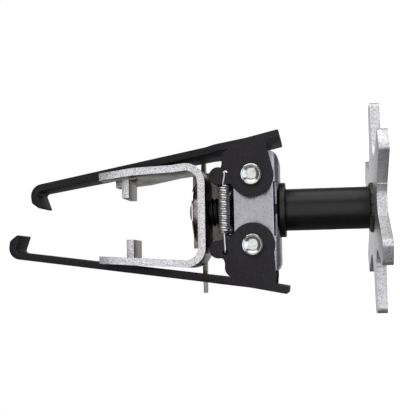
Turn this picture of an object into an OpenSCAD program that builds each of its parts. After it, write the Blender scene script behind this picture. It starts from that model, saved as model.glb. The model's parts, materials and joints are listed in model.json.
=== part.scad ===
// Two jaw puller with a lobed handwheel, a steel bracket, sprung jaws and a pressing yoke.
// It stands on the outer face of its handwheel. Z runs along the screw towards the jaws,
// X runs from the lower jaw to the upper jaw, and Y runs across the jaw width.

/* [Handwheel] */
// Radius over the lobe tips
wheel_r = 50; // [46:0.5:60]
// Plate thickness of the wheel
wheel_t = 4.6; // [3:0.1:8]
// Number of lobes
lobe_count = 6; // [6:1:6]
// Half width of a lobe near its tip
lobe_half = 6.2; // [5:0.1:7]
// Corner radius of a lobe tip
lobe_corner_r = 3; // [1:0.1:4]

/* [Tube nut] */
// Outer radius of the threaded tube
tube_r = 10.1; // [9:0.1:12]
// Radius of the thrust collar
collar_r = 13.2; // [12:0.1:15]
// Thickness of the thrust collar
collar_t = 2.6; // [2:0.1:3]

/* [Bracket] */
// Height of the web's outer face above the wheel's outer face
web_z = 48.4; // [46:0.1:52]
// Sheet thickness of the bracket
bracket_t = 2.2; // [1.5:0.1:2.6]
// Reach of the bracket beyond the screw axis at the upper jaw
bracket_up = 27.8; // [26:0.1:28]
// Reach of the bracket beyond the screw axis at the lower jaw
bracket_down = 30; // [28:0.1:30.2]
// Half depth of the bracket along Y
bracket_half_y = 11.5; // [10.5:0.1:11.5]
// Depth of the bracket's side plates along Z
bracket_h = 21.4; // [18:0.1:24]

/* [Pivots] */
// Distance of the upper jaw's pivot from the screw axis
upper_pivot_x = 16; // [15.5:0.1:16.5]
// Distance of the lower jaw's pivot from the screw axis
lower_pivot_x = 17; // [16.5:0.1:17.5]
// Height of the jaw pivots above the wheel's outer face
pivot_z = 61; // [60:0.1:62]
// Radius of the rivet shank
rivet_r = 4; // [3:0.1:4.2]
// Outer radius of a pivot bush
bush_r = 5; // [4.9:0.1:6]
// Radius of a rivet head
rivet_head_r = 5.1; // [5:0.1:6.5]

/* [Jaws] */
// Sheet thickness of the jaws
jaw_t = 3.5; // [3:0.1:3.6]
// Lean of the upper jaw towards the screw axis, in degrees
upper_lean = 9.5; // [9:0.1:9.7]
// Lean of the lower jaw towards the screw axis, in degrees
lower_lean = 7.6; // [7:0.1:8]
// Distance from the upper pivot to the outer face of its strip
upper_outer = 17.6; // [17.5:0.1:18]
// Distance from the lower pivot to the outer face of its strip
lower_outer = 19.9; // [19.6:0.1:20.4]
// Length of the upper jaw beyond its pivot
upper_len = 111; // [105:0.5:125]
// Length of the lower jaw beyond its pivot
lower_len = 122; // [105:0.5:130]
// Half width of the strip at the hook
hook_half = 7; // [6:0.1:8]
// Depth of a hook from the strip's outer face to its tip
hook_depth = 12; // [9:0.1:14]

/* [Screw and yoke] */
// Radius over the screw thread
screw_r = 7; // [6:0.1:8]
// Height of the yoke's base above the wheel's outer face
yoke_z = 83.6; // [83:0.1:86]
// Sheet thickness of the yoke
yoke_t = 3.5; // [3:0.1:3.5]
// Half height of the yoke over the outer faces of its bends
yoke_half_x = 25; // [23:0.1:25.1]
// Half width of the yoke's base along Y
yoke_half_y = 12.5; // [11:0.1:13]
// Half width of the yoke over its prongs
prong_half_y = 20.5; // [19:0.1:22]
// Lean of the upper yoke leg towards the screw axis, in degrees
upper_leg_lean = 6.2; // [6:0.1:7.6]
// Lean of the lower yoke leg towards the screw axis, in degrees
lower_leg_lean = 3.6; // [3.4:0.1:7.6]
// Length of the yoke along Z
yoke_len = 50; // [44:0.5:54]

/* [Hidden] */
$fn = 64;

// Running clearance of the round fits
fit = 0.05;

// Handwheel: how far it is turned at rest, and the valleys between its lobes
wheel_turn = 2;
valley_r = 9;
valley_at = 35;
lobe_root = 10.8;
wheel_hub_r = 30;

// Tube nut: it ends inside the bracket in a smaller neck that carries the retaining ring
collar_z = web_z - 0.05 - collar_t;
neck_r = 8.2;
neck_top = web_z + bracket_t + 3;
ring_r = 8.95;
ring_gap = 0.6;
ring_t = 1.6;
weld_r = 12.2;
weld_h = 2;

// Bracket
bracket_top = web_z + bracket_h;
bend_r = 3.6;
web_corner_r = 5;
slot_half_x = 12.8;
slot_z = web_z + 1.2;
slot_h = 1.5;

// Across the jaws: washer, cheek and rivet head, counted outwards from the bracket
washer_t = 0.45;
cheek_y0 = bracket_half_y + 0.5;
cheek_y1 = cheek_y0 + jaw_t;
head_y = cheek_y1 + 0.1;
head_t = 1.7;
boss_r = 10.4;

// Springs
spring_z = 74.2;
spring_y = 14.35;
spring_r = 2.75;
spring_half = 11.5;
wire_r = 0.5;
hook_wire_y = cheek_y1 + 0.6;
hook_in_y = cheek_y1 - 1;
tab_r = 4.2;
tab_hole_r = 1.3;
upper_tab = [2.4, 15.6];
lower_tab = [4, 15.8];
tab_hole = [1, -3.5];
tail_flare = 3;

// Screw end, guide plate and domed washer, stacked on the yoke's base
yoke_shift = -2;
yoke_outer_r = 9.5;
yoke_inner = yoke_z + yoke_t;
prong_split_z = yoke_z + 34;
tab_half_y = 8.5;
tab_drop = 9.1;
upper_tab_rise = 2.2;
screw_z = 1.5;
bolt_r = 4;
bolt_z = 66;
plate_t = 2;
plate_z = yoke_inner;
plate_back_y = 19;
dome_r = 14.7;
dome_h = 1.8;
dome_z = plate_z + plate_t;
bolt_head_r = 4.6;
bolt_head_h = 1.6;

// Points of a circular arc
function arc(c, r, a0, a1, n = 10) =
  [for (i = [0:n]) let (a = a0 + (a1 - a0) * i / n) [c.x + r * cos(a), c.y + r * sin(a)]];

// Extrudes an outline drawn in X and Z along Y, from y0 to y1
module along_y(y0, y1) {
  translate([0, y1, 0]) rotate([90, 0, 0]) linear_extrude(y1 - y0) children();
}

// Extrudes an outline drawn in Y and Z along X, from x0 to x1
module along_x(x0, x1) {
  translate([x0, 0, 0]) rotate([90, 0, 90]) linear_extrude(x1 - x0) children();
}

// Round bar along Y between y0 and y1, at a place in X and Z
module pin_y(x, z, r, y0, y1) {
  translate([x, y1, z]) rotate([90, 0, 0]) cylinder(h = y1 - y0, r = r);
}

// Ring along Z
module ring_z(z, h, r_out, r_in) {
  translate([0, 0, z]) difference() {
    cylinder(h = h, r = r_out);
    translate([0, 0, -1]) cylinder(h = h + 2, r = r_in);
  }
}

// Ring along Y
module ring_y(x, z, y0, y1, r_out, r_in) {
  difference() {
    pin_y(x, z, r_out, y0, y1);
    pin_y(x, z, r_in, y0 - 1, y1 + 1);
  }
}

// ---- Handwheel and tube nut, the pieces that turn together

module lobe() {
  tip = wheel_r - lobe_corner_r;
  polygon([[0, -lobe_root - 1], [tip, -lobe_half], [tip, lobe_half], [0, lobe_root + 1]]);
  translate([tip - 1, -lobe_half + lobe_corner_r])
    square([lobe_corner_r + 1, 2 * (lobe_half - lobe_corner_r)]);
  for (s = [-1, 1]) translate([tip, s * (lobe_half - lobe_corner_r)]) circle(r = lobe_corner_r);
}

module star_wheel() {
  color("silver") linear_extrude(wheel_t) difference() {
    union() {
      circle(r = wheel_hub_r);
      for (i = [0:lobe_count - 1]) rotate(wheel_turn + i * 360 / lobe_count) lobe();
    }
    for (i = [0:lobe_count - 1]) rotate(wheel_turn + (i + 0.5) * 360 / lobe_count)
      translate([valley_at, 0]) circle(r = valley_r);
    circle(r = tube_r);
  }
}

module weld_ring() {
  color("dimgray") translate([0, 0, wheel_t]) difference() {
    cylinder(h = weld_h, r1 = weld_r, r2 = tube_r + 0.2);
    translate([0, 0, -1]) cylinder(h = weld_h + 2, r = tube_r);
  }
}

module tube_nut() {
  color("black") difference() {
    union() {
      cylinder(h = web_z - 0.05, r = tube_r);
      translate([0, 0, web_z - 1]) cylinder(h = neck_top - web_z + 1, r = neck_r);
    }
    translate([0, 0, -1]) cylinder(h = neck_top + 2, r = screw_r + fit);
  }
}

module collar() {
  color("black") ring_z(collar_z, collar_t, collar_r, tube_r);
}

module retaining_ring() {
  color("silver") ring_z(web_z + bracket_t + ring_gap, ring_t, ring_r, neck_r);
}

// ---- Bracket, a channel bent from sheet, with its rivets and spacers

module bracket_section() {
  y = bracket_half_y;
  ri = bend_r - bracket_t;
  polygon(concat(
    [[-y, bracket_top]],
    arc([-y + bend_r, web_z + bend_r], bend_r, 180, 270),
    arc([y - bend_r, web_z + bend_r], bend_r, 270, 360),
    [[y, bracket_top], [y - bracket_t, bracket_top]],
    arc([y - bend_r, web_z + bend_r], ri, 360, 270),
    arc([-y + bend_r, web_z + bend_r], ri, 270, 180),
    [[-y + bracket_t, bracket_top]]));
}

module bracket_outline() {
  up = bracket_up - web_corner_r;
  down = bracket_down - web_corner_r;
  low = web_z + web_corner_r;
  high = bracket_top - web_corner_r;
  polygon(concat(
    arc([up, high], web_corner_r, 0, 90),
    arc([-down, high], web_corner_r, 90, 180),
    arc([-down, low], web_corner_r, 180, 270),
    arc([up, low], web_corner_r, 270, 360)));
}

module bracket() {
  color("lightsteelblue") difference() {
    intersection() {
      along_x(-bracket_down, bracket_up) bracket_section();
      along_y(-bracket_half_y, bracket_half_y) bracket_outline();
    }
    for (x = [upper_pivot_x, -lower_pivot_x]) pin_y(x, pivot_z, rivet_r, -20, 20);
    translate([0, 0, web_z - 1]) cylinder(h = 10, r = neck_r + fit);
    for (s = [-1, 1]) translate([-slot_half_x, s * (bracket_half_y - 1) - 2.6, slot_z])
      cube([2 * slot_half_x, 5.2, slot_h]);
  }
}

module spacer(x) {
  y = bracket_half_y - bracket_t;
  color("silver") ring_y(x, pivot_z, -y, y, bush_r, rivet_r);
}

module upper_spacer() {
  spacer(upper_pivot_x);
}

module lower_spacer() {
  spacer(-lower_pivot_x);
}

// A rivet with a dished head at each end
module rivet(x) {
  color("silver") difference() {
    union() {
      pin_y(x, pivot_z, rivet_r, -head_y, head_y);
      for (s = [-1, 1]) translate([x, s * head_y, pivot_z]) rotate([-90 * s, 0, 0])
        cylinder(h = head_t, r1 = rivet_head_r, r2 = rivet_head_r - 0.7);
    }
    for (s = [-1, 1]) translate([x, s * (head_y + head_t + 0.01), pivot_z]) rotate([90 * s, 0, 0])
      cylinder(h = 1.6, r1 = 3.6, r2 = 2.4);
  }
}

module upper_rivet() {
  rivet(upper_pivot_x);
}

module lower_rivet() {
  rivet(-lower_pivot_x);
}

module side_washers() {
  y = bracket_half_y;
  color("silver") for (x = [-lower_pivot_x, upper_pivot_x]) {
    ring_y(x, pivot_z, y, y + washer_t, 9, rivet_r);
    ring_y(x, pivot_z, -y - washer_t, -y, 9, rivet_r);
  }
}

// ---- Jaws, drawn upright with the pivot at the origin and the strip on the +X side

module cheek_bushes(x) {
  color("gray") for (y = [-cheek_y1, cheek_y0])
    ring_y(x, pivot_z, y, y + jaw_t, bush_r, rivet_r + fit);
}

module upper_bushes() {
  cheek_bushes(upper_pivot_x);
}

module lower_bushes() {
  cheek_bushes(-lower_pivot_x);
}

// Side view of a strip with its flared tail and its hook
module strip_side(outer, len, tail) {
  r = 6;
  flare = tail * tan(tail_flare);
  point = 3.4;
  under = 1.5;
  polygon(concat(
    [[outer + flare, -tail], [outer, -1]],
    arc([outer - r, len - r], r, 0, 90),
    [[outer - hook_depth + point, len], [outer - hook_depth, len - point],
     [outer - hook_depth, len - jaw_t - under], [outer - jaw_t - 1, len - jaw_t],
     [outer - jaw_t, len - jaw_t - 1], [outer - jaw_t, -1],
     [outer - jaw_t + flare, -tail]]));
}

// Plan of a strip: full width beside the cheeks, then tapered to the hook
module strip_plan(len, tail) {
  polygon([[-cheek_y1, -tail], [cheek_y1, -tail], [cheek_y1, 14.5], [13, 19],
    [hook_half, len + 1], [-hook_half, len + 1], [-13, 19], [-cheek_y1, 14.5]]);
}

// Side view of a cheek: pivot boss, heel, strip edge and spring tab, with a rounded notch above the edge
module cheek_side(outer, heel, tab, edge) {
  inner = outer - jaw_t;
  circle(r = boss_r);
  translate(tab) circle(r = tab_r);
  polygon(concat(
    [[outer - 1, -heel], [inner - 4, -heel + 0.3], [2, -boss_r + 0.2], [-7.3, 7.4], [-2.4, 10.5],
     [tab.x - tab_r, tab.y], [tab.x, tab.y + tab_r]],
    arc([inner - 5.2, edge + 4.6], 4.6, 185, 270, 5),
    arc([inner - 4.8, edge - 4.5], 4.5, 80, 10, 4),
    [[outer - 1, edge - 3.4]]));
}

module jaw(outer, len, tail, heel, tab, edge) {
  difference() {
    union() {
      intersection() {
        along_y(-cheek_y1, cheek_y1) strip_side(outer, len, tail);
        along_x(-1, outer + 6) strip_plan(len, tail);
      }
      for (y = [-cheek_y1, cheek_y0]) along_y(y, y + jaw_t) cheek_side(outer, heel, tab, edge);
    }
    pin_y(0, 0, bush_r + fit, -20, 20);
    pin_y(tab.x + tab_hole.x, tab.y + tab_hole.y, tab_hole_r, -20, 20);
  }
}

module upper_jaw() {
  color("#2b292c") translate([upper_pivot_x, 0, pivot_z]) rotate([0, -upper_lean, 0])
    jaw(upper_outer, upper_len, 16.5, 10, upper_tab, 12.6);
}

module lower_jaw() {
  color("#2b292c") mirror([1, 0, 0]) translate([lower_pivot_x, 0, pivot_z])
    rotate([0, -lower_lean, 0]) jaw(lower_outer, lower_len, 18.5, 12.4, lower_tab, 11.8);
}

// ---- Springs between the jaw tabs, as plain closed coils with hooked ends

// Place in X and Z of a tab's spring hole, seen from the screw axis outwards
function hole_at(tab, pivot, lean) =
  let (p = tab + tab_hole)
  [pivot + p.x * cos(lean) - p.y * sin(lean), pivot_z + p.x * sin(lean) + p.y * cos(lean)];

module spring(side) {
  color("gainsboro") {
    translate([-spring_half, side * spring_y, spring_z]) rotate([0, 90, 0])
      cylinder(h = 2 * spring_half, r = spring_r);
    spring_hook(hole_at(upper_tab, upper_pivot_x, upper_lean), 1, side);
    spring_hook(hole_at(lower_tab, lower_pivot_x, lower_lean), -1, side);
  }
}

// A hook is a straight wire past the cheek and a short bent end in the tab's hole
module spring_hook(hole, end, side) {
  run = hole.x - spring_half;
  fall = atan2(hole.y - spring_z, run);
  tip_y = hook_wire_y + 0.3;
  translate([end * spring_half, side * hook_wire_y, spring_z]) rotate([0, end * (90 - fall), 0])
    translate([0, 0, -1]) cylinder(h = norm([run, hole.y - spring_z]) + 1, r = wire_r, $fn = 16);
  pin_y(end * hole.x, hole.y, wire_r + 0.1, min(side * hook_in_y, side * tip_y),
    max(side * hook_in_y, side * tip_y), $fn = 16);
}

module front_spring() {
  spring(-1);
}

module rear_spring() {
  spring(1);
}

// ---- Screw, yoke and the plates bolted to its end

module screw() {
  color("#1c1b1d") difference() {
    translate([0, 0, screw_z]) cylinder(h = yoke_z - screw_z, r = screw_r);
    translate([0, 0, bolt_z]) cylinder(h = 40, r = bolt_r);
  }
}

// Side view of the yoke from its base to the prong tips, as half of a symmetric channel
module yoke_half_side(lean) {
  x = yoke_half_x;
  r = yoke_outer_r;
  t = yoke_t;
  h = yoke_len - r;
  fall = h * tan(lean);
  polygon(concat(
    [[-1, 0]],
    arc([x - r, r], r, 270, 360),
    [[x - fall, r + h], [x - t - fall, r + h]],
    arc([x - r, r], r - t, 360, 270),
    [[-1, t]]));
}

// Side view of a bent pressing tab
module yoke_tab_side(rise, lean) {
  z = prong_split_z - yoke_z + rise;
  x = yoke_half_x - (z - yoke_outer_r) * tan(lean);
  root = x + 5 * tan(lean);
  top = z + 5.4;
  polygon(concat(
    [[x - yoke_t, z], [root - yoke_t, z - 5], [root, z - 5]],
    arc([x - 5, top - 5], 5, 0, 90),
    [[x - yoke_t - tab_drop, top], [x - yoke_t - tab_drop, top - yoke_t], [x - yoke_t, top - yoke_t]]));
}

// Front view of the yoke: narrow base, flare and two prongs either side of a slot
module yoke_front() {
  difference() {
    polygon([[-yoke_half_y, -1], [yoke_half_y, -1], [yoke_half_y, 16], [prong_half_y, 33],
      [prong_half_y - 1.6, yoke_len + 1], [-prong_half_y + 1.6, yoke_len + 1],
      [-prong_half_y, 33], [-yoke_half_y, 16]]);
    translate([-prong_half_y + 9.4, prong_split_z - yoke_z]) square([2 * prong_half_y - 18.8, 40]);
  }
}

module yoke() {
  color("gainsboro") translate([yoke_shift, 0, yoke_z]) difference() {
    union() {
      intersection() {
        union() {
          along_y(-prong_half_y, prong_half_y) yoke_half_side(upper_leg_lean);
          mirror([1, 0, 0]) along_y(-prong_half_y, prong_half_y)
            yoke_half_side(lower_leg_lean);
        }
        along_x(-40, 40) yoke_front();
      }
      along_y(-tab_half_y, tab_half_y) yoke_tab_side(upper_tab_rise, upper_leg_lean);
      mirror([1, 0, 0]) along_y(-tab_half_y, tab_half_y) yoke_tab_side(0, lower_leg_lean);
    }
    translate([-yoke_shift, 0, -1]) cylinder(h = 10, r = bolt_r);
  }
}

// Guide plate: a tab under the domed washer, a cross bar and a tongue behind the bracket
module guide_plate() {
  color("lightsteelblue") difference() {
    union() {
      translate([0, 0, plate_z]) linear_extrude(plate_t) {
        circle(r = 10);
        translate([-10, 0]) square([20, plate_back_y]);
        polygon([[-39.8, 15.5], [-28, 13.5], [24, 13.5], [31, 15.5], [31, 17.5], [24, plate_back_y],
          [-28, plate_back_y], [-39.8, 17.5]]);
      }
      translate([-17, plate_back_y - 0.01, web_z + 1]) cube([39, plate_t, 45]);
    }
    translate([0, 0, plate_z - 1]) cylinder(h = 10, r = bolt_r);
  }
}

module dome_washer() {
  color("whitesmoke") translate([0, 0, dome_z]) rotate_extrude()
    polygon(concat(
      [[bolt_r, 0], [dome_r, 0]],
      [for (i = [0:8]) let (u = i / 8, x = dome_r - u * (dome_r - bolt_r))
        [x, 0.6 + (dome_h - 0.6) * (1 - pow((x - bolt_r) / (dome_r - bolt_r), 2))]]));
}

module yoke_bolt() {
  z = dome_z + dome_h;
  color("black") {
    translate([0, 0, bolt_z]) cylinder(h = z - bolt_z + 0.5, r = bolt_r);
    translate([0, 0, z]) cylinder(h = bolt_head_h, r1 = bolt_head_r, r2 = bolt_head_r - 2);
  }
}

star_wheel();
weld_ring();
tube_nut();
collar();
retaining_ring();
bracket();
upper_spacer();
lower_spacer();
upper_rivet();
lower_rivet();
side_washers();
upper_bushes();
lower_bushes();
upper_jaw();
lower_jaw();
front_spring();
rear_spring();
screw();
yoke();
guide_plate();
dome_washer();
yoke_bolt();
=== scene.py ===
import json
import math
import bpy
import bmesh
from mathutils import Matrix, Vector

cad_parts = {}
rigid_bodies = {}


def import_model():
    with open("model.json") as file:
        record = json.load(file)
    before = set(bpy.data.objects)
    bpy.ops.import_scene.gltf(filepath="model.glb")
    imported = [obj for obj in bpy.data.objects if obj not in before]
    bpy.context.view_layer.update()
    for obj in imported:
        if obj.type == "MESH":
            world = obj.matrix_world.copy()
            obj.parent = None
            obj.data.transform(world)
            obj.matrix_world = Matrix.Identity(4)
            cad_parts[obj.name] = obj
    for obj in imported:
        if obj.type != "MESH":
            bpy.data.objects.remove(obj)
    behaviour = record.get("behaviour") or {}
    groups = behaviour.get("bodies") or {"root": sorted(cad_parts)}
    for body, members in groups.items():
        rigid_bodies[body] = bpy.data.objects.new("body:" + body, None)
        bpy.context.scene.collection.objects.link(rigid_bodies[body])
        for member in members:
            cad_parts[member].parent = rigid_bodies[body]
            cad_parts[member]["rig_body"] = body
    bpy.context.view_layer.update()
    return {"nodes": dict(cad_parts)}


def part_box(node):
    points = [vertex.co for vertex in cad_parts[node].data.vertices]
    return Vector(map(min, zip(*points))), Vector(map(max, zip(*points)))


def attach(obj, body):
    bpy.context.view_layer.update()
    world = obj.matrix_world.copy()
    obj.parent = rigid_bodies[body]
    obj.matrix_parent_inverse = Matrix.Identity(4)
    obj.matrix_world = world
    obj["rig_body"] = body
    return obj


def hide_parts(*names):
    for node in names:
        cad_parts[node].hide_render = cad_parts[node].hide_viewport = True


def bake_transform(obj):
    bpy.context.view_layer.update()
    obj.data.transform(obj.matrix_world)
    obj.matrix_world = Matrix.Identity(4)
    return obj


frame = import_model()

mm = 0.001

cameraSetup = {
    "eye": (-0.0297, -0.3567, 0.0317),  # metres, in the model's frame
    "aim": (0.0017, -0.0048, 0.0832),
    "top": (0.9960, -0.0843, -0.0308),  # which way is up
    "lens": 63.6,
}

# Finishes: colours in sRGB, patch and grain sizes in millimetres, rough from smooth to dull patches
finishes = {
    # Cast silver with a fine hammered grain, so its highlights break up into flecks
    "hammeredZinc": {
        "colour": "#e4e3e4", "patch": "#a5a3a7", "patchSize": 0.8, "patchAmount": 0.5,
        "metallic": 1.0, "rough": (0.32, 0.52), "grain": 0.6, "bump": 0.2,
    },
    # Dark, uneven skin of a weld bead that was left as it cooled
    "weldScale": {
        "colour": "#5d5a58", "patch": "#2e2a28", "patchSize": 2.0, "patchAmount": 0.6,
        "metallic": 0.9, "rough": (0.4, 0.65), "grain": 0.5, "bump": 0.08,
    },
    # Smooth black tube that shows long soft streaks of light
    "satinBlack": {
        "colour": "#0e0d10", "patch": "#17161a", "patchSize": 7.0, "patchAmount": 0.5, "shine": 0.4,
        "metallic": 0.0, "rough": (0.3, 0.42), "grain": 0.35, "bump": 0.012,
    },
    # Plain turned steel, dulled by handling
    "greyedSteel": {
        "colour": "#8d8b8a", "patch": "#5d5a58", "patchSize": 3.0, "patchAmount": 0.5,
        "metallic": 1.0, "rough": (0.3, 0.45), "grain": 0.3, "bump": 0.01,
    },
    # Lilac-grey zinc plate with small cloudy patches
    "brightZinc": {
        "colour": "#a6a4aa", "patch": "#8f8c94", "patchSize": 1.0, "patchAmount": 0.35,
        "metallic": 1.0, "rough": (0.24, 0.42), "grain": 0.5, "bump": 0.012,
    },
    # Pressed steel bright enough to show a ring of light in the cup
    "dishedRivet": {
        "colour": "#cccdca", "patch": "#9d9e9b", "patchSize": 2.0, "patchAmount": 0.45,
        "metallic": 1.0, "rough": (0.12, 0.24), "grain": 0.3, "bump": 0.006,
    },
    # Coarse black powder coat that hides highlights and shows a faint orange peel
    "powderBlack": {
        "colour": "#1c181d", "patch": "#302a33", "patchSize": 0.8, "patchAmount": 0.35, "shine": 0.35,
        "metallic": 0.0, "rough": (0.5, 0.64), "grain": 0.4, "bump": 0.08,
    },
    # Pale spring wire, each coil with its own thin line of light
    "drawnWire": {
        "colour": "#dddcdc", "patch": "#c6c4c3", "patchSize": 3.0, "patchAmount": 0.3,
        "metallic": 1.0, "rough": (0.28, 0.38), "grain": 0.2, "bump": 0.001,
    },
    # Thin black oxide with slightly lighter patches at random
    "blackOxide": {
        "colour": "#151416", "patch": "#252326", "patchSize": 1.5, "patchAmount": 0.5,
        "metallic": 0.3, "rough": (0.3, 0.45), "grain": 0.25, "bump": 0.012,
    },
    # Warm grey zinc sheet, cloudy, with soft wide highlights; its grey is darker than the silver sheet as
    # painted shade for the faces that turn away from the light
    "yokeZincShade": {
        "colour": "#908e87", "patch": "#6b6962", "patchSize": 4.0, "patchAmount": 0.55,
        "metallic": 1.0, "rough": (0.26, 0.44), "grain": 0.45, "bump": 0.02,
    },
    # Bright grainy metal where the sheet was cut, its paleness partly the bare cut edge and partly a painted
    # highlight of the front light
    "shearedEdgeHighlight": {
        "colour": "#e8e7e9", "patch": "#98969a", "patchSize": 0.6, "patchAmount": 0.6,
        "metallic": 1.0, "rough": (0.34, 0.55), "grain": 0.3, "bump": 0.06,
    },
    # Beige-grey zinc, the dullest of the plated sheets; its beige is painted shade, the tone of the shadowed
    # gap beside the yoke's base
    "paintedShadeBeige": {
        "colour": "#a8a19a", "patch": "#85807a", "patchSize": 6.0, "patchAmount": 0.5,
        "metallic": 1.0, "rough": (0.32, 0.46), "grain": 0.4, "bump": 0.012,
    },
    # Near-mirror dome with the room curved across it
    "polishedDome": {
        "colour": "#e4e3e4", "patch": "#c4c3c6", "patchSize": 5.0, "patchAmount": 0.4,
        "metallic": 1.0, "rough": (0.06, 0.12), "grain": 0.3, "bump": 0.002,
    },
}

# Pieces that keep the CAD outline and gain rounded edges: CAD node, finish, slot, edge round in mm.
# A corner rounds the outline first: axis of its edges (0 to 2), round and shortest edge, in mm.
rounded = {
    "starWheel": {"node": "star_wheel", "finish": "hammeredZinc", "slot": "wheel_zinc", "edge": 0.8,
                  "corner": (2, 2.6, 3)},
    "tubeNut": {"node": "tube_nut", "finish": "satinBlack", "slot": "tube_black", "edge": 0.4},
    "thrustCollar": {"node": "collar", "finish": "satinBlack", "slot": "tube_black", "edge": 0.35},
    "retainingRing": {"node": "retaining_ring", "finish": "greyedSteel", "slot": "ring_steel", "edge": 0.2},
    "bracketChannel": {"node": "bracket", "finish": "brightZinc", "slot": "bracket_zinc", "edge": 0.3},
    "upperSpacer": {"node": "upper_spacer", "finish": "greyedSteel", "slot": "ring_steel", "edge": 0.2},
    "lowerSpacer": {"node": "lower_spacer", "finish": "greyedSteel", "slot": "ring_steel", "edge": 0.2},
    "sideWashers": {"node": "side_washers", "finish": "greyedSteel", "slot": "ring_steel", "edge": 0.08},
    "upperBushes": {"node": "upper_bushes", "finish": "greyedSteel", "slot": "ring_steel", "edge": 0.15},
    "lowerBushes": {"node": "lower_bushes", "finish": "greyedSteel", "slot": "ring_steel", "edge": 0.15},
    "upperJaw": {"node": "upper_jaw", "finish": "powderBlack", "slot": "jaw_black", "edge": 0.45,
                 "corner": (1, 1.5, 12)},
    "lowerJaw": {"node": "lower_jaw", "finish": "powderBlack", "slot": "jaw_black", "edge": 0.45,
                 "corner": (1, 1.5, 12)},
    # The yoke's paler cut edges are a painted highlight and its darker faces are painted shade
    "pressYoke": {"node": "yoke", "finish": "yokeZincShade", "slot": "yoke_silver", "edge": 0.45,
                  "cut": "shearedEdgeHighlight"},
    # This sheet fills the shadowed gap beside the yoke's base with painted shade
    "guidePlateShade": {"node": "guide_plate", "finish": "paintedShadeBeige", "slot": "bracket_zinc", "edge": 0.3},
}

# Angles in degrees: flat is merged into one face, corner and edge are rounded, shaded stays smooth
angles = {"flat": 0.6, "corner": 14, "edge": 35, "shaded": 32}


def srgb(hexText):
    # sRGB hex to the linear values that shaders want
    parts = [int(hexText[i:i + 2], 16) / 255 for i in (1, 3, 5)]
    return tuple(c / 12.92 if c < 0.04045 else ((c + 0.055) / 1.055) ** 2.4 for c in parts) + (1.0,)


def addNode(tree, kind, settings=None, **links):
    node = tree.nodes.new(kind)
    for key, value in (settings or {}).items():
        if hasattr(node, key):
            setattr(node, key, value)
        else:
            node.inputs[key].default_value = value
    for key, source in links.items():
        tree.links.new(source, node.inputs[key.replace("_", " ")])
    return node


def makeFinish(name, look):
    material = bpy.data.materials.new(name)
    material.use_nodes = True
    tree = material.node_tree
    surface = tree.nodes["Principled BSDF"]
    place = addNode(tree, "ShaderNodeTexCoord").outputs["Object"]
    patches = addNode(tree, "ShaderNodeTexNoise", {
        "Scale": 1 / (look["patchSize"] * mm), "Detail": 4.0, "Roughness": 0.6}, Vector=place)
    spread = addNode(tree, "ShaderNodeMapRange", {
        "From Min": 0.62 - 0.3 * look["patchAmount"], "From Max": 0.68}, Value=patches.outputs["Fac"])
    tone = addNode(tree, "ShaderNodeMix", {"data_type": "RGBA"})
    # Sockets 6 and 7 are the mix node's two colours, and output 2 is its colour result
    for socket, colour in zip((6, 7), ("colour", "patch")):
        tone.inputs[socket].default_value = srgb(look[colour])
    tree.links.new(spread.outputs["Result"], tone.inputs["Factor"])
    tree.links.new(tone.outputs[2], surface.inputs["Base Color"])
    grain = addNode(tree, "ShaderNodeTexNoise", {
        "Scale": 1 / (look["grain"] * mm), "Detail": 3.0, "Roughness": 0.55}, Vector=place)
    dull = addNode(tree, "ShaderNodeMapRange", {
        "From Min": 0.3, "From Max": 0.7, "To Min": look["rough"][0], "To Max": look["rough"][1]},
        Value=grain.outputs["Fac"])
    tree.links.new(dull.outputs["Result"], surface.inputs["Roughness"])
    bump = addNode(tree, "ShaderNodeBump", {"Distance": look["bump"] * mm, "Strength": 1.0},
                   Height=grain.outputs["Fac"])
    tree.links.new(bump.outputs["Normal"], surface.inputs["Normal"])
    surface.inputs["Metallic"].default_value = look["metallic"]
    surface.inputs["Specular IOR Level"].default_value = look.get("shine", 0.5)
    return material


def addPiece(name, shape, materials):
    bmesh.ops.remove_doubles(shape, verts=shape.verts, dist=0.001 * mm)
    bmesh.ops.recalc_face_normals(shape, faces=shape.faces)
    for edge in shape.edges:
        if len(edge.link_faces) == 2:
            edge.smooth = edge.calc_face_angle(0) < math.radians(angles["shaded"])
    mesh = bpy.data.meshes.new(name)
    for face in shape.faces:
        face.smooth = True
    shape.to_mesh(mesh)
    shape.free()
    for material in materials:
        mesh.materials.append(material)
    piece = bpy.data.objects.new(name, mesh)
    bpy.context.scene.collection.objects.link(piece)
    return piece


def buildRounded(name, part):
    # A CAD node's own mesh, merged, flattened into whole faces and rounded along its sharp edges
    shape = bmesh.new()
    shape.from_mesh(frame["nodes"][part["node"]].data)
    bmesh.ops.remove_doubles(shape, verts=shape.verts, dist=0.002 * mm)
    bmesh.ops.dissolve_limit(shape, angle_limit=math.radians(angles["flat"]),
                            verts=shape.verts, edges=shape.edges)
    materials = [paint[part["finish"]]]
    if "cut" in part:
        materials.append(paint[part["cut"]])
        for face in shape.faces:
            # Faces towards +Y or -Y are the sheet's cut edges and take the pale finish, a painted highlight;
            # the other faces keep the darker grey, painted shade
            face.material_index = int(abs(face.normal.y) > 0.8)
    if "corner" in part:
        axis, wide, shortest = part["corner"]
        corners = [edge for edge in shape.edges
                   if len(edge.link_faces) == 2
                   and edge.calc_face_angle(0) > math.radians(angles["corner"])
                   and edge.calc_length() > shortest * mm
                   and abs((edge.verts[0].co - edge.verts[1].co).normalized()[axis]) > 0.999]
        bmesh.ops.bevel(shape, geom=corners, offset=wide * mm, offset_type="OFFSET", segments=5,
                        profile=0.5, affect="EDGES", clamp_overlap=True, material=-1)
    sharp = [edge for edge in shape.edges
             if len(edge.link_faces) == 2 and edge.calc_face_angle(0) > math.radians(angles["edge"])]
    bmesh.ops.bevel(shape, geom=sharp, offset=part["edge"] * mm, offset_type="OFFSET", segments=3,
                    profile=0.5, affect="EDGES", clamp_overlap=True, material=-1)
    piece = addPiece(name, shape, materials)
    rideLike(piece, part["node"])


def rideLike(piece, node):
    # The piece moves with the CAD node's body and stands for it
    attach(piece, bodyOf[node])
    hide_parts(node)


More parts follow.
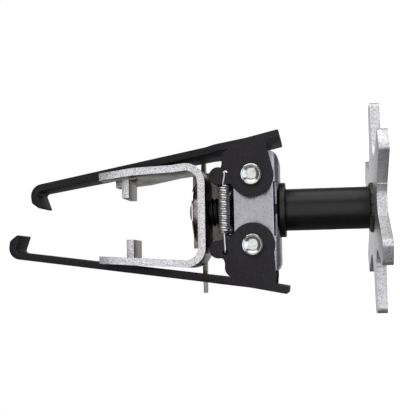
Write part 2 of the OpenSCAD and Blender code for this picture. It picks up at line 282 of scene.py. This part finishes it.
def lathe(outline, around, place, turn):
    # Spins an outline of (radius, height) points round Z, then turns and places it, in metres
    shape = bmesh.new()
    line = [shape.verts.new((radius, 0, height)) for radius, height in outline]
    edges = [shape.edges.new(pair) for pair in zip(line, line[1:])]
    bmesh.ops.spin(shape, geom=line + edges, cent=(0, 0, 0), axis=(0, 0, 1), angle=2 * math.pi,
                   steps=around, use_merge=True)
    bmesh.ops.remove_doubles(shape, verts=shape.verts, dist=0.001 * mm)
    shape.transform(Matrix.Translation(place) @ turn)
    return shape


# Millimetres; head runs from its seat outwards, as shares of the head's radius and of the seat's depth
rivet = {
    "shank": 4, "seat": 1.7, "around": 64,
    "head": ((0.98, 0.0), (1.0, 0.12), (1.0, 0.55), (0.97, 0.8), (0.91, 0.92), (0.85, 0.85), (0.81, 0.62),
             (0.78, 0.64), (0.72, 0.56), (0.6, 0.36), (0.45, 0.2), (0.25, 0.13), (0.0, 0.22)),
}


def buildRivet(name, node):
    # Shank with a dished head at each end: raised rim, groove and bright cup
    low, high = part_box(node)
    middle = (low + high) / 2
    half = (high.y - low.y) / 2
    head = (high.z - low.z) / 2
    depth = rivet["seat"] * mm
    seat = half - depth
    shank = rivet["shank"] * mm
    cap = [(head * r, seat + depth * h) for r, h in rivet["head"]]
    outline = [(r, -z) for r, z in reversed(cap)] + [(shank, -seat), (shank, seat)] + cap
    shape = lathe(outline, rivet["around"], middle, Matrix.Rotation(math.radians(90), 4, "X"))
    piece = addPiece(name, shape, [paint["dishedRivet"]])
    rideLike(piece, node)


dome = {"bore": 4, "rim": 0.6, "rings": 24, "around": 96}  # bore radius and rim height in millimetres


def buildDome():
    low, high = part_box("dome_washer")
    radius = (high.x - low.x) / 2
    bore = dome["bore"] * mm
    tall = high.z - low.z
    rim = dome["rim"] * mm
    outline = [(bore, 0), (radius - 0.3 * mm, 0), (radius - 0.05 * mm, 0.08 * mm), (radius, 0.3 * mm),
               (radius - 0.1 * mm, rim)]
    for i in range(1, dome["rings"] + 1):
        r = radius - 0.1 * mm - i / dome["rings"] * (radius - 0.1 * mm - bore)
        outline.append((r, rim + (tall - rim) * (1 - ((r - bore) / (radius - bore)) ** 2)))
    shape = lathe(outline + [(bore, 0)], dome["around"], ((low.x + high.x) / 2, (low.y + high.y) / 2, low.z),
                  Matrix.Identity(4))
    piece = addPiece("domedWasher", shape, [paint["polishedDome"]])
    rideLike(piece, "dome_washer")


# Radii in millimetres, then how far the chamfers and the socket go down
bolt = {"shank": 4, "tip": 3.6, "chamfer": 0.5, "socket": 1.9, "deep": 1.3, "around": 96}


def buildBolt():
    # Button head with a six-sided socket, on a plain shank
    low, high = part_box("yoke_bolt")
    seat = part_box("dome_washer")[1].z
    radius = (high.x - low.x) / 2
    tall = high.z - seat
    centre = ((low.x + high.x) / 2, (low.y + high.y) / 2, 0)
    outline = [(0, low.z), (bolt["tip"] * mm, low.z), (bolt["shank"] * mm, low.z + bolt["chamfer"] * mm),
               (bolt["shank"] * mm, seat), (radius - 0.1 * mm, seat), (radius, seat + 0.2 * mm)]
    for i in range(1, 9):
        a = math.radians(90) * i / 8
        outline.append((radius - (radius - 2.2 * mm) * (1 - math.cos(a)), seat + 0.2 * mm
                        + (tall - 0.2 * mm) * math.sin(a)))
    outline += [(1.95 * mm, high.z - 0.12 * mm), (bolt["socket"] * mm, high.z - bolt["deep"] * mm),
                (0, high.z - 1.5 * mm)]
    shape = lathe(outline, bolt["around"], centre, Matrix.Identity(4))
    # The round socket is pressed into six flats
    for vert in shape.verts:
        flat = Vector((vert.co.x - centre[0], vert.co.y - centre[1]))
        if vert.co.z > high.z - 1.4 * mm and 1 * mm < flat.length < 2 * mm:
            angle = math.atan2(flat.y, flat.x) % math.radians(60) - math.radians(30)
            scale = 0.92 / math.cos(angle)
            vert.co.x = centre[0] + flat.x * scale
            vert.co.y = centre[1] + flat.y * scale
    piece = addPiece("yokeBolt", shape, [paint["blackOxide"]])
    rideLike(piece, "yoke_bolt")


thread = {"pitch": 2.0, "depth": 1.15, "around": 48}  # millimetres, and steps in one turn


def buildScrew():
    # One pitch of thread spun upwards past both ends, chamfered, then cut level and closed
    low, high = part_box("screw")
    radius = (high.x - low.x) / 2
    root = radius - thread["depth"] * mm
    pitch = thread["pitch"] * mm
    around = thread["around"]
    # Crest, flank and root of one pitch, as a share of the pitch and the radius there
    steps = ((0.0, radius), (0.14, radius), (0.46, root), (0.62, root), (1.0, radius))
    turns = math.ceil((high.z - low.z) / pitch) + 3
    shape = bmesh.new()
    line = [shape.verts.new((r, 0, low.z + (share - 2) * pitch)) for share, r in steps]
    edges = [shape.edges.new(pair) for pair in zip(line, line[1:])]
    bmesh.ops.spin(shape, geom=line + edges, cent=(0, 0, 0), axis=(0, 0, 1), dvec=(0, 0, pitch / around),
                   angle=2 * math.pi * turns, steps=around * turns, use_merge=False)
    bmesh.ops.remove_doubles(shape, verts=shape.verts, dist=0.002 * mm)
    for vert in shape.verts:
        spare = max(0.0, min(vert.co.z - low.z, high.z - vert.co.z))
        scale = min(1.0, (root + spare) / math.hypot(vert.co.x, vert.co.y))
        vert.co.x *= scale
        vert.co.y *= scale
    for height, way in ((low.z, -1), (high.z, 1)):
        cut = bmesh.ops.bisect_plane(shape, geom=shape.verts[:] + shape.edges[:] + shape.faces[:],
                                     plane_co=(0, 0, height), plane_no=(0, 0, way), clear_outer=True)
        rim = [part for part in cut["geom_cut"] if isinstance(part, bmesh.types.BMEdge)]
        bmesh.ops.edgeloop_fill(shape, edges=rim)
    piece = addPiece("pressScrew", shape, [paint["blackOxide"]])
    rideLike(piece, "screw")


weld = {"width": 2.1, "ripple": 0.1, "ripples": 36, "around": 240}  # width and ripple in millimetres


def buildWeld():
    # A bead with the ripples that a welder leaves
    low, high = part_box("weld_ring")
    outer = (high.x - low.x) / 2
    tall = high.z - low.z
    bore = outer - weld["width"] * mm
    outline = [(bore, low.z), (outer - 0.2 * mm, low.z)]
    for i in range(9):
        a = math.radians(90) * i / 8
        outline.append((bore + 0.1 * mm + (outer - bore - 0.3 * mm) * math.cos(a),
                        low.z + tall * (0.05 + 0.92 * math.sin(a))))
    shape = lathe(outline + [(bore, low.z)], weld["around"], (0, 0, 0), Matrix.Identity(4))
    for vert in shape.verts:
        radius = math.hypot(vert.co.x, vert.co.y)
        if radius > bore + 0.2 * mm and vert.co.z > low.z + 0.05 * tall:
            angle = math.atan2(vert.co.y, vert.co.x)
            wave = math.sin(angle * weld["ripples"] + 2 * math.sin(angle * 3))
            scale = 1 - (0.12 + weld["ripple"] * wave) * mm / radius
            vert.co.x *= scale
            vert.co.y *= scale
    piece = addPiece("weldBead", shape, [paint["weldScale"]])
    rideLike(piece, "weld_ring")


# Millimetres: coil, the hooks' holes and how far out they pass; steps in a turn, wire's roundness
coil = {
    "wire": 1.0, "outer": 2.75, "half": 11.5, "turns": 20, "around": 24, "resolution": 2,
    "axis": 14.35, "pass": 16.15, "lowerHole": 73.85, "upperHole": 73.5,
}


def springPath(node, side):
    # Centre line of the wire from the lower hook to the upper one
    low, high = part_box(node)
    wire = coil["wire"] * mm
    ring = coil["outer"] * mm - wire / 2
    y = side * coil["axis"] * mm
    z = low.z + coil["outer"] * mm
    half = coil["half"] * mm - wire / 2
    past = coil["pass"] * mm * side
    path = []
    for end, holeX, holeZ in ((-1, low.x + 0.6 * mm, coil["lowerHole"] * mm),
                              (1, high.x - 0.6 * mm, coil["upperHole"] * mm)):
        hook = [(holeX, side * 14.2 * mm, holeZ), (holeX, side * 15.3 * mm, holeZ),
                (holeX - end * 0.2 * mm, past - side * 0.25 * mm, holeZ),
                (holeX - end * 0.8 * mm, past, holeZ), (holeX - end * 1.6 * mm, past, holeZ),
                (end * (half + 0.9 * mm), past + side * 0.1 * mm, z)]
        path.append(hook)
    steps = coil["turns"] * coil["around"]
    middle = []
    for i in range(steps + 1):
        angle = 2 * math.pi * i / coil["around"]
        middle.append((-half + 2 * half * i / steps, y + side * ring * math.cos(angle),
                       z + ring * math.sin(angle)))
    return [Vector(p) for p in path[0] + middle + path[1][::-1]]


def bendWire(path, radius, resolution):
    # A closed round wire bent along a path
    curve = bpy.data.curves.new("wire", "CURVE")
    curve.dimensions = "3D"
    curve.bevel_depth = radius
    curve.bevel_resolution = resolution
    curve.use_fill_caps = True
    spline = curve.splines.new("POLY")
    spline.points.add(len(path) - 1)
    for point, place in zip(spline.points, path):
        point.co = (*place, 1)
    holder = bpy.data.objects.new("wire", curve)
    shape = bmesh.new()
    shape.from_mesh(holder.to_mesh())
    holder.to_mesh_clear()
    bpy.data.objects.remove(holder)
    bpy.data.curves.remove(curve)
    return shape


def buildSpring(name, node, side):
    # Two halves of one wire, each made a separate piece and left fixed in place
    path = springPath(node, side)
    middle = len(path) // 2
    for part, run, way, arm in (("LowerHalf", path[:middle + 1], -1, "lower_arm"),
                                ("UpperHalf", path[middle:], 1, "upper_arm")):
        shape = bendWire(run, coil["wire"] / 2 * mm, coil["resolution"])
        piece = addPiece(name + part, shape, [paint["drawnWire"]])
        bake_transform(piece)
        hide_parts(node)


def buildCamera():
    eye = Vector(cameraSetup["eye"])
    back = (eye - Vector(cameraSetup["aim"])).normalized()
    side = Vector(cameraSetup["top"]).cross(back).normalized()
    up = back.cross(side)
    data = bpy.data.cameras.new("camera")
    data.lens = cameraSetup["lens"]
    data.clip_start = 0.01
    data.clip_end = 20
    camera = bpy.data.objects.new("camera", data)
    turn = Matrix((side, up, back)).transposed().to_4x4()
    camera.matrix_world = Matrix.Translation(eye) @ turn
    bpy.context.scene.collection.objects.link(camera)
    bpy.context.scene.camera = camera


def buildStage():
    mesh = bpy.data.meshes.new("floor")
    shape = bmesh.new()
    bmesh.ops.create_grid(shape, x_segments=1, y_segments=1, size=3)
    shape.to_mesh(mesh)
    shape.free()
    floor = bpy.data.objects.new("floor", mesh)
    bpy.context.scene.collection.objects.link(floor)
    paper = bpy.data.materials.new("whitePaper")
    paper.use_nodes = True
    tree = paper.node_tree
    surface = tree.nodes["Principled BSDF"]
    place = addNode(tree, "ShaderNodeTexCoord").outputs["Object"]
    fibre = addNode(tree, "ShaderNodeTexNoise", {"Scale": 400.0, "Detail": 3.0}, Vector=place)
    tone = addNode(tree, "ShaderNodeMapRange", {"To Min": 0.55, "To Max": 0.62},
                   Value=fibre.outputs["Fac"])
    tree.links.new(tone.outputs["Result"], surface.inputs["Base Color"])
    surface.inputs["Roughness"].default_value = 0.9
    surface.inputs["Emission Color"].default_value = srgb("#ffffff")
    surface.inputs["Emission Strength"].default_value = 0.95
    mesh.materials.append(paper)
    floor.visible_diffuse = False
    floor.visible_glossy = False


def buildWorld():
    world = bpy.data.worlds.new("studio")
    bpy.context.scene.world = world
    world.use_nodes = True
    tree = world.node_tree
    tree.nodes.clear()
    path = addNode(tree, "ShaderNodeLightPath")
    room = addNode(tree, "ShaderNodeBackground", {"Color": srgb("#8a8a8c"), "Strength": 0.55})
    paper = addNode(tree, "ShaderNodeBackground", {"Color": srgb("#ffffff"), "Strength": 1.0})
    mix = addNode(tree, "ShaderNodeMixShader", {}, Fac=path.outputs["Is Camera Ray"])
    tree.links.new(room.outputs[0], mix.inputs[1])
    tree.links.new(paper.outputs[0], mix.inputs[2])
    addNode(tree, "ShaderNodeOutputWorld", {}, Surface=mix.outputs[0])


def addLight(name, aim, place, width, height, glow, tint="#ffffff"):
    # glow is how bright the box looks in a mirror, where 1 is paper white
    data = bpy.data.lights.new(name, "AREA")
    data.shape = "RECTANGLE"
    data.size = width
    data.size_y = height
    data.energy = glow * math.pi * width * height
    data.color = srgb(tint)[:3]
    light = bpy.data.objects.new(name, data)
    light.location = place
    light.visible_camera = False
    light.rotation_euler = (Vector(aim) - Vector(place)).to_track_quat("-Z", "Y").to_euler()
    bpy.context.scene.collection.objects.link(light)


# Light boxes: place, width, height and glow, in metres, all aimed at the middle of the tool
lightBoxes = {
    "topBox": {"place": (0.7, -0.2, 0.12), "width": 0.9, "height": 0.9, "glow": 1.7},
    "frontBox": {"place": (-0.05, -0.8, 0.16), "width": 1.0, "height": 0.8, "glow": 1.12},
    "wheelBox": {"place": (0.05, -0.55, -0.36), "width": 0.6, "height": 0.45, "glow": 1.7,
                 "tint": "#eef3ff"},
    "rearBox": {"place": (0.2, 0.85, 0.08), "width": 0.8, "height": 0.8, "glow": 0.6},
    "backBox": {"place": (-0.15, 0.5, 0.85), "width": 0.8, "height": 0.6, "glow": 1.4},
}


def buildLights():
    for name, box in lightBoxes.items():
        addLight(name, aim=(0, 0, 0.08), **box)


paint = {name: makeFinish(name, look) for name, look in finishes.items()}
bodyOf = {node: piece["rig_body"] for node, piece in frame["nodes"].items()}

print("rounded pieces")
for pieceName, part in rounded.items():
    buildRounded(pieceName, part)
print("turned pieces")
buildRivet("upperRivet", "upper_rivet")
buildRivet("lowerRivet", "lower_rivet")
buildWeld()
buildDome()
buildBolt()
buildScrew()
print("springs")
buildSpring("frontSpring", "front_spring", -1)
buildSpring("rearSpring", "rear_spring", 1)

print("camera, stage and lights")
bpy.context.scene.view_settings.view_transform = "Standard"
buildCamera()
buildStage()
buildWorld()
buildLights()
